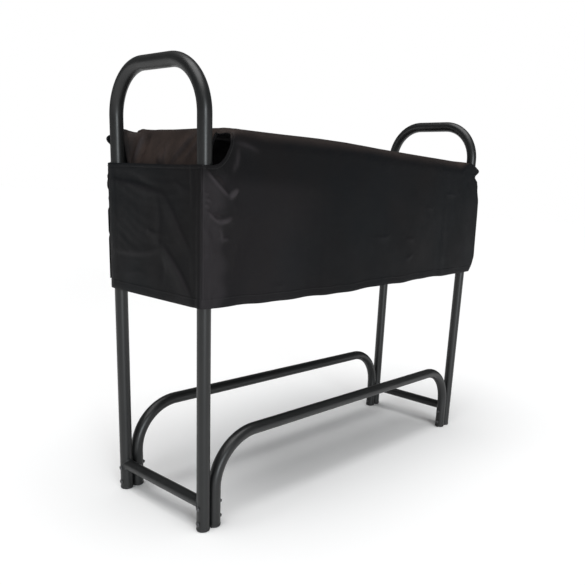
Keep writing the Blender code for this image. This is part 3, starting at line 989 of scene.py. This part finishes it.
CREASES = [
    (left_wall((0.180, 0.900), (0.060, 0.888), (-0.050, 0.872), (-0.070, 0.862)), 0.0030, 0.005, 0.022),
    (left_wall((-0.060, 0.867), (-0.090, 0.830), (-0.112, 0.795), (-0.155, 0.743)), 0.0030, 0.006, 0.024),
    (left_wall((0.180, 0.914), (0.080, 0.908), (-0.020, 0.890)), -0.0030, 0.012, 0.010),
    (left_wall((0.170, 0.716), (0.080, 0.716), (0.000, 0.724), (-0.060, 0.745)), 0.0026, 0.020, 0.006),
    (left_wall((-0.050, 0.748), (-0.085, 0.715), (-0.120, 0.680), (-0.145, 0.650), (-0.167, 0.620)),
     0.0048, 0.006, 0.026),
    (left_wall((-0.030, 0.867), (-0.036, 0.810), (-0.030, 0.742)), 0.0018, 0.008, 0.016),
    (left_wall((0.020, 0.785), (-0.020, 0.772), (-0.050, 0.782)), 0.0016, 0.006, 0.014),
    (left_wall((0.120, 0.655), (0.060, 0.668), (0.020, 0.662)), 0.0014, 0.010, 0.014),
    (left_wall((-0.040, 0.720), (-0.048, 0.690), (-0.040, 0.655)), -0.0016, 0.010, 0.010),
    (left_wall((-0.100, 0.905), (-0.130, 0.888), (-0.160, 0.884)), 0.0016, 0.006, 0.012),
    (front_left((-0.642, 0.930), (-0.618, 0.908), (-0.592, 0.888), (-0.572, 0.874)), 0.0072, 0.006, 0.014),
    (front_left((-0.630, 0.934), (-0.600, 0.924), (-0.578, 0.905)), -0.0058, 0.010, 0.008),
    (front_left((-0.578, 0.872), (-0.562, 0.884), (-0.545, 0.896)), 0.0075, 0.004, 0.008),
    (front_left((-0.645, 0.846), (-0.626, 0.826), (-0.606, 0.816), (-0.584, 0.820), (-0.566, 0.830)),
     0.0072, 0.005, 0.012),
    (front_left((-0.620, 0.845), (-0.600, 0.838), (-0.580, 0.846)), -0.0061, 0.010, 0.010),
    (front_left((-0.612, 0.812), (-0.600, 0.790), (-0.598, 0.760)), 0.0043, 0.006, 0.012),
    (front_left((-0.652, 0.872), (-0.640, 0.867), (-0.626, 0.864)), 0.0049, 0.003, 0.005),
    (front_left((-0.652, 0.858), (-0.642, 0.853), (-0.630, 0.852)), 0.0049, 0.003, 0.005),
    (front_left((-0.652, 0.884), (-0.642, 0.880), (-0.632, 0.880)), 0.0038, 0.003, 0.005),
    (front_left((-0.604, 0.778), (-0.590, 0.775), (-0.576, 0.777)), 0.0035, 0.003, 0.007),
    (front_left((-0.650, 0.800), (-0.632, 0.780), (-0.622, 0.740)), 0.0032, 0.006, 0.012),
    (front_left((-0.648, 0.730), (-0.628, 0.742), (-0.610, 0.748)), 0.0029, 0.005, 0.010),
    (front_left((-0.560, 0.935), (-0.548, 0.960), (-0.545, 0.990)), 0.0026, 0.010, 0.012),
    (front_left((-0.556, 1.004), (-0.520, 1.000), (-0.480, 0.990)), 0.0022, 0.006, 0.014),
    (front_left((0.430, 0.926), (0.470, 0.930), (0.500, 0.929)), 0.0016, 0.004, 0.010),
    (front_left((0.300, 0.880), (0.330, 0.874), (0.345, 0.880)), 0.0014, 0.006, 0.010),
    (front_left((0.020, 0.780), (0.060, 0.776), (0.100, 0.782)), 0.0018, 0.004, 0.012),
    (front_left((0.190, 0.770), (0.220, 0.772), (0.240, 0.768)), 0.0018, 0.005, 0.010),
    (front_left((0.200, 0.706), (0.225, 0.712), (0.240, 0.722)), 0.0020, 0.004, 0.009),
    (front_left((-0.420, 0.660), (-0.395, 0.650), (-0.380, 0.655)), 0.0018, 0.005, 0.010),
    ([(-0.553, -0.060, 1.034), (-0.575, -0.045, 1.004), (-0.592, -0.025, 0.975), (-0.603, -0.010, 0.950)],
     0.0060, 0.005, 0.020),
    ([(-0.553, -0.100, 1.034), (-0.580, -0.080, 0.995), (-0.600, -0.060, 0.955)], 0.0045, 0.012, 0.008),
    ([(-0.575, 0.040, 1.000), (-0.592, 0.030, 0.975), (-0.605, 0.020, 0.945)], 0.0040, 0.010, 0.006),
    ([(-0.590, 0.060, 0.975), (-0.598, 0.040, 0.962), (-0.606, 0.028, 0.943)], 0.0036, 0.005, 0.008),
    ([(-0.560, 0.160, 1.020), (-0.585, 0.156, 0.985), (-0.603, 0.152, 0.950)], 0.0065, 0.006, 0.009),
    ([(-0.560, 0.136, 1.020), (-0.585, 0.134, 0.985), (-0.603, 0.130, 0.950)], -0.0040, 0.010, 0.010),
]


def laid_on(tree, line, spacing=0.007):
    """The line in short steps, each moved to the nearest point of the cloth."""
    line = np.array(line)
    at = distances_along(line)
    want = np.linspace(0, at[-1], max(3, int(at[-1] / spacing)))
    return np.array([tuple(tree.find_nearest(Vector(step))[0]) for step in points_at(line, at, want)])


def near_line(line, here, normals):
    """Distance from a line, share of its length at the nearest point, and the hand each point lies on."""
    at = distances_along(line)
    best = np.full(len(here), np.inf)
    along, side = np.zeros(len(here)), np.zeros(len(here))
    for i, (a, b) in enumerate(zip(line, line[1:])):
        step = b - a
        t = np.clip(((here - a) @ step) / (step @ step), 0, 1)
        off = here - (a + t[:, None] * step)
        distance = np.linalg.norm(off, axis=1)
        better = distance < best
        best = np.where(better, distance, best)
        along = np.where(better, (at[i] + t * (at[i + 1] - at[i])) / at[-1], along)
        hand = np.einsum("ij,ij->i", np.cross(np.broadcast_to(step, off.shape), off), normals)
        side = np.where(better, hand, side)
    return best, along, side


def crease_heights(mesh, points, normals):
    """Sum of all creases at each point of the cloth, and how close each point is to a raised one."""
    tree = surface_of(mesh)
    total, ridge = np.zeros(len(points)), np.zeros(len(points))
    for line, height, near_width, far_width in CREASES:
        line = laid_on(tree, line)
        reach = 3.5 * max(near_width, far_width)
        within = (points > line.min(axis=0) - reach) & (points < line.max(axis=0) + reach)
        near = np.where(np.all(within, axis=1))[0]
        if not len(near):
            continue
        distance, along, side = near_line(line, points[near], normals[near])
        width = np.where(side > 0, near_width, far_width)
        taper = np.sin(math.pi * np.clip(along, 0.02, 0.98)) ** 0.6
        total[near] += height * taper * np.exp(-(distance / width) ** 2)
        if height > 0:
            pale = taper * height / CREASE_FULL * np.exp(-(distance / RIDGE_W) ** 2)
            ridge[near] = np.maximum(ridge[near], pale)
    return total, ridge


def refine_cloth(cloth):
    """One round of subdivision, then the creases; gives how near each point is to a ridge, 0 to 1."""
    subdivide = cloth.modifiers.new("subdivide", "SUBSURF")
    subdivide.levels = subdivide.render_levels = 1
    bake_modifier(cloth, subdivide)
    points, normals = positions(cloth.data), normals_of(cloth.data)
    heights, ridge = crease_heights(cloth.data, points, normals)
    set_positions(cloth.data, clear_of_arches(points + normals * heights[:, None]))
    return np.clip(ridge, 0, 1)


# ================================================================================= cover trim
def edge_loops(mesh):
    """Open edges of the cloth as ordered loops of (point, outward direction)."""
    bm = bmesh.new()
    bm.from_mesh(mesh)
    open_edges = {e: True for e in bm.edges if e.is_boundary}    # a set has another order each run
    loops = []
    while open_edges:
        edge = next(iter(open_edges))
        del open_edges[edge]
        first, vert = edge.verts
        chain = [first, vert]
        while vert is not first:
            edge = next((e for e in vert.link_edges if e in open_edges), None)
            if edge is None:
                break
            del open_edges[edge]
            vert = edge.other_vert(vert)
            if vert is not first:
                chain.append(vert)
        loops.append([(v.co.copy(), outward(v)) for v in chain])
    bm.free()
    return loops


def outward(vert):
    """Direction in the cloth that leaves it at an open edge."""
    inner = Vector((0, 0, 0))
    for face in vert.link_faces:
        inner += face.calc_center_median() - vert.co
    return -inner.normalized()


def soften(table):
    """Each row of a closed ring averaged with its neighbours."""
    return (np.roll(table, 1, axis=0) + 2 * table + np.roll(table, -1, axis=0)) / 4


def even_loop(loop, spacing, rounds=2):
    """The loop at even spacing, its directions smoothed."""
    places = np.array([tuple(p) for p, _ in loop])
    away = np.array([tuple(o) for _, o in loop])
    ring = np.vstack([places, places[:1]])
    at = distances_along(ring)
    want = np.linspace(0, at[-1], int(at[-1] / spacing), endpoint=False)
    places = points_at(ring, at, want)
    away = points_at(np.vstack([away, away[:1]]), at, want)
    for _ in range(rounds):
        away = soften(away)
    along = np.roll(places, -1, axis=0) - np.roll(places, 1, axis=0)
    along /= np.linalg.norm(along, axis=1, keepdims=True)
    away -= along * np.sum(away * along, axis=1, keepdims=True)
    away /= np.linalg.norm(away, axis=1, keepdims=True)
    return places, away


def on_cloth(tree, place, away, offset, lift):
    """A point `offset` past the line (negative is into the cloth), raised by `lift`."""
    inside = min(offset, 0.0)
    found, normal, _, _ = tree.find_nearest(Vector(place + away * inside))
    return found + normal * lift + Vector(away) * max(offset, 0.0)


def band(name, tree, places, away, profile, material, closed=True):
    """A strip of constant section that follows the cloth."""
    bm = bmesh.new()
    rings = []
    for place, out in zip(places, away):
        rings.append([on_cloth(tree, place, out, offset, lift) for offset, lift in profile])
    table = np.array([[tuple(p) for p in ring] for ring in rings])
    ends = table[[0, -1]].copy()
    table = soften(table)
    if not closed:
        table[[0, -1]] = ends
    verts = [[bm.verts.new(p) for p in ring] for ring in table]
    bridge_all(bm, verts + verts[:1] if closed else verts)
    if not closed:
        bm.faces.new(verts[0])
        bm.faces.new(verts[-1])
    return new_object(name, bm, "cover", material, smooth_angle=50)


def stitches(name, tree, places, away, offset, lift, material):
    """A row of short raised threads along a line on the cloth."""
    line = [tuple(on_cloth(tree, place, out, offset, lift)) for place, out in zip(places, away)]
    line = np.array(line)
    at = distances_along(line)
    bm = bmesh.new()
    for middle_at in np.arange(STITCH_PITCH / 2, at[-1], STITCH_PITCH):
        rings = []
        for share, size in STITCH_PROFILE:
            where = middle_at + share * STITCH_LENGTH
            middle, ahead = (Vector(p) for p in points_at(line, at, [where, where + 0.001]))
            along = ahead - middle
            if along.length < 1e-7:
                along = Vector((0, 0, 1))
            across = along.orthogonal().normalized()
            other = along.normalized().cross(across)
            around = [math.cos(a) * across + math.sin(a) * other for a in round_turn(STITCH_SEGS)]
            rings.append([bm.verts.new(middle + STITCH_R * size * way) for way in around])
        bridge_all(bm, rings)
        bm.faces.new(rings[0])
        bm.faces.new(rings[-1])
    return new_object(name, bm, "cover", material)


def trim_cover(mesh, seams, fabric, thread):
    """Bound slot edges, turned hem, corner seams and their stitching."""
    tree = surface_of(mesh)
    loops = sorted(edge_loops(mesh), key=lambda loop: sum(p.z for p, _ in loop) / len(loop))
    jobs = []
    for index, loop in enumerate(loops):
        places, away = even_loop(loop, TRIM_STEP)
        side = "left" if places[:, 0].mean() < 0 else "right"
        if index == 0:
            jobs.append(("hem", "hem", places, away, HEM, -0.0205, 0.0009, True))
        else:
            slot = f"{side}_slot"
            jobs.append((slot + "_binding", slot, places, away, EDGE_TAPE, -0.0068, 0.0010, True))
    for name, line in seams.items():
        places, away = seam_frame(tree, line)
        jobs.append((f"{name}_seam", f"{name}_seam", places, away, SEAM, -0.0062, 0.0002, False))
    pieces = []
    for name, row, places, away, profile, offset, lift, closed in jobs:
        pieces.append(band(f"cover_{name}", tree, places, away, profile, fabric, closed))
        lift += HALF_CLOTH
        pieces.append(stitches(f"cover_{row}_stitching", tree, places, away, offset, lift, thread))
    return pieces


def seam_frame(tree, line):
    """Even points down a seam, and the direction across it."""
    line = np.array(line)
    at = distances_along(line)
    places = points_at(line, at, np.linspace(0.024, at[-1] - 0.009, int(at[-1] / 0.005)))
    away = []
    for i, place in enumerate(places):
        ahead = places[min(i + 1, len(places) - 1)] - places[max(i - 1, 0)]
        _, normal, _, _ = tree.find_nearest(Vector(place))
        away.append(tuple(Vector(ahead).cross(normal).normalized()))
    return places, np.array(away)


# ================================================================================= cover build
def weave(m, place, facing):
    """Plain weave, seen square on whichever way the cloth faces."""
    waves = [m.math("SINE", m.math("MULTIPLY", place[axis], WEAVE_TURNS)) for axis in "XYZ"]
    total = None
    for axis, (a, b) in zip("XYZ", ((1, 2), (0, 2), (0, 1))):
        weight = m.math("MULTIPLY", facing[axis], facing[axis])
        cell = m.math("MULTIPLY", m.math("MULTIPLY", waves[a], waves[b]), weight)
        total = cell if total is None else m.math("ADD", total, cell)
    return total


def cover_painted_top_light(m, place, facing):
    """Painted top light: a warm pale tint on what faces up, on the top and the slopes, strongest on the
    slopes at the ends.
    """
    along = m.math("ABSOLUTE", place["X"])
    across = m.math("ABSOLUTE", place["Y"])
    within = m.math("MULTIPLY", m.map_range(along, 0.612, 0.628, 1.0, 0.0),
                    m.map_range(across, 0.190, 0.204, 1.0, 0.0))
    up = m.map_range(facing["Z"], 0.10, 0.50, 0.0, 0.66)
    by_end = m.map_range(along, 0.50, 0.57, 0.42, 1.0)
    uneven = m.map_range(m.noise(14.0, 6.0, 0.7), 0.30, 0.70, 0.45, 1.0)
    return m.math("MULTIPLY", m.math("MULTIPLY", m.math("MULTIPLY", up, by_end), within), uneven)


def cover_cloth_material():
    """Coated polyester: plain weave, soft sheen, painted warm top light on what faces up, painted sheen on
    corners and ridges, faint handling marks.
    """
    m = Nodes("cover_cloth")
    place = m.split(m.coords)
    facing = m.split(m.tree.nodes.new("ShaderNodeNewGeometry").outputs["Normal"])
    threads = weave(m, place, facing)
    colour = m.ramp(m.noise(3.2, 3.0, 0.55), [(0.34, COVER_BLUE), (0.66, COVER_BROWN)])
    colour = m.mix(m.map_range(threads, -1.0, 1.0, 0.0, 0.20), colour, COVER_THREADS)
    # painted top light: a warm pale tint on what faces up
    colour = m.mix(cover_painted_top_light(m, place, facing), colour, COVER_PAINTED_TOP_LIGHT)
    # painted sheen and ridge highlights, read from the point attribute
    painted_sheen = m.tree.nodes.new("ShaderNodeAttribute")
    painted_sheen.attribute_name = "painted_sheen"
    colour = m.mix(painted_sheen.outputs["Fac"], colour, COVER_PAINTED_SHEEN)
    marks = m.map_range(m.noise(38.0, 8.0, 0.75), 0.60, 0.78, 0.0, 0.30)
    colour = m.mix(marks, colour, COVER_MARKS)
    rough = m.map_range(m.noise(11.0, 5.0, 0.65), 0.30, 0.70, 0.42, 0.54)
    soft = m.bump(m.noise(26.0, 4.0, 0.55), 0.0016, 0.30)
    fine = m.bump(m.noise(95.0, 3.0, 0.6), 0.0004, 0.30, soft)
    normal = m.bump(threads, 0.00010, 0.55, fine)
    return m.set(Base_Color=colour, Roughness=rough, Normal=normal, Specular_IOR_Level=0.07)


def thread_material():
    m = Nodes("cover_thread")
    colour = m.ramp(m.noise(900.0, 2.0), [(0.3, (0.010, 0.010, 0.011)), (0.7, (0.022, 0.022, 0.023))])
    return m.set(Base_Color=colour, Roughness=0.7, Normal=m.bump(m.noise(4000.0, 2.0), 0.0001, 0.5))


def make_cover():
    points, faces = cover_grid()
    mesh, index = cloth_mesh(clear_of_arches(points), faces)
    cloth = bpy.data.objects.new("cover_cloth", mesh)
    bpy.context.scene.collection.objects.link(cloth)
    settle(cloth)
    cloth.vertex_groups.clear()
    seams = corner_seams(positions(cloth.data), index)
    ridge = refine_cloth(cloth)
    cloth.data.shade_smooth()
    fabric = cover_cloth_material()
    pieces = trim_cover(cloth.data, seams, fabric, thread_material())
    # painted sheen, stored on the cloth and on each piece of its trim
    mark_painted_sheen(cloth.data, ridge)
    for piece in pieces:
        mark_painted_sheen(piece.data, 0.0)
    thicken(cloth)
    cloth.data.materials.append(fabric)
    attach(cloth, "cover")
    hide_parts("cover")


def mark_painted_sheen(mesh, ridge):
    """Store how much painted sheen each point gets: a painted highlight on crease ridges, a painted sheen
    band over each upright (strongest at the left end), and a faint painted sheen on the panels towards the
    left end.
    """
    points = positions(mesh)
    x, y, z = points[:, 0], points[:, 1], points[:, 2]
    facing = np.abs(normals_of(mesh)[:, 1])
    post = centre("right_rear_upright_foot_plug")
    gap = np.hypot(np.abs(x) - post.x, np.abs(y) - post.y)
    skirt = smooth(SLOT_Z, SLOT_Z - 0.05, z)
    uneven = 1 + 0.22 * np.sin(31 * z + 9 * x) * np.sin(57 * z + 2)
    # painted sheen band where the cloth turns over an upright
    on_post = smooth(1.0, 0.35, gap / (PAINTED_SHEEN_REACH * uneven)) * smooth(0.10, 0.60, facing) * skirt
    on_post *= 0.06 + 0.48 * smooth(0.1, -0.1, x)
    # painted highlight along the crease ridges
    on_ridge = ridge * (0.30 + 0.70 * facing * smooth(-0.40, -0.54, x))
    # faint painted sheen on the panels towards the left end
    by_post = 0.17 * smooth(-0.15, -0.45, x) * facing * skirt
    amount = np.maximum(np.maximum(on_post, on_ridge), by_post)
    layer = mesh.attributes.new("painted_sheen", "FLOAT", "POINT")
    layer.data.foreach_set("value", np.ascontiguousarray(amount, dtype=np.float32))


def thicken(cloth):
    shell = cloth.modifiers.new("thickness", "SOLIDIFY")
    shell.thickness = CLOTH_T
    shell.offset = 0.0
    bake_modifier(cloth, shell)


def corner_seams(points, index):
    """The four lines where the end walls are sewn to the strip."""
    columns = len(column_places())
    rows = 2 * (SKIRT_ROWS + UPPER_ROWS + FOLD_ROWS) + TOP_ROWS - 1
    seams = {}
    for end, column, top in (("left", 0, SLOT_ROW), ("right", columns - 1, SLOT_ROW + RIGHT_SLOT_ROWS)):
        front = [index[r * columns + column] for r in range(top + 1)]
        rear = [index[(rows - 1 - r) * columns + column] for r in range(top + 1)]
        seams[end + "_front"] = points[front]
        seams[end + "_rear"] = points[rear]
    return seams


# ================================================================================= stage
def make_camera():
    yaw, pitch, roll = (math.radians(v) for v in (CAMERA_YAW, CAMERA_PITCH, CAMERA_ROLL))
    ahead = Vector((math.cos(yaw) * math.cos(pitch), math.sin(yaw) * math.cos(pitch), -math.sin(pitch)))
    right = Vector((math.sin(yaw), -math.cos(yaw), 0))
    up = right.cross(ahead)
    turned_right = math.cos(roll) * right + math.sin(roll) * up
    turned_up = math.cos(roll) * up - math.sin(roll) * right
    data = bpy.data.cameras.new("camera")
    data.lens = CAMERA_LENS
    data.sensor_width = 36.0
    data.shift_x, data.shift_y = CAMERA_SHIFT
    data.clip_start = 0.02
    cam = bpy.data.objects.new("camera", data)
    bpy.context.scene.collection.objects.link(cam)
    cam.matrix_world = Matrix((turned_right, turned_up, -ahead)).transposed().to_4x4()
    cam.location = CAMERA_PLACE
    bpy.context.scene.camera = cam


def make_floor():
    bm = bmesh.new()
    bmesh.ops.create_grid(bm, x_segments=1, y_segments=1, size=60.0)
    mesh = mesh_from(bm, "floor")
    floor = bpy.data.objects.new("floor", mesh)
    bpy.context.scene.collection.objects.link(floor)
    m = Nodes("pale_floor")
    mesh.materials.append(m.set(Base_Color=(0.95, 0.95, 0.95), Roughness=0.9, Specular_IOR_Level=0.1))


def add_sun(name, place, target, strength, width, colour):
    """Soft sunlight that comes from `place` towards `target`; `width` is its angle in degrees."""
    data = bpy.data.lights.new(name, "SUN")
    data.energy = strength
    data.color = colour
    data.angle = math.radians(width)
    light = bpy.data.objects.new(name, data)
    light.location = place
    light.rotation_euler = (Vector(target) - Vector(place)).to_track_quat("-Z", "Y").to_euler()
    bpy.context.scene.collection.objects.link(light)


def make_light():
    """A white backdrop that lights the scene only faintly, and two soft suns."""
    world = bpy.data.worlds.new("studio")
    bpy.context.scene.world = world
    world.use_nodes = True
    tree = world.node_tree
    back = tree.nodes["Background"]
    path = tree.nodes.new("ShaderNodeLightPath")
    strength = tree.nodes.new("ShaderNodeMapRange")
    strength.inputs["To Min"].default_value = WORLD_LIGHT
    strength.inputs["To Max"].default_value = WORLD_SEEN
    tree.links.new(path.outputs["Is Camera Ray"], strength.inputs["Value"])
    tree.links.new(strength.outputs["Result"], back.inputs["Strength"])
    back.inputs["Color"].default_value = (1, 1, 1, 1)
    add_sun("key_sun", (-1.3, -3.2, 1.05), (0, 0, 0.6), 1.36, 16, (0.94, 1.0, 1.03))
    add_sun("top_sun", (-1.0, -0.6, 5.0), (0, 0, 0.5), 2.9, 60, (1, 1, 1))
    bpy.context.scene.view_settings.view_transform = "Standard"


# ================================================================================= build
def main():
    coat = powder_coat()
    make_camera()
    make_tubes(coat)
    make_crossbars(coat, weld_paint())
    make_fastenings(fastener_steel(), plug_plastic())
    make_cover()
    make_floor()
    make_light()


main()
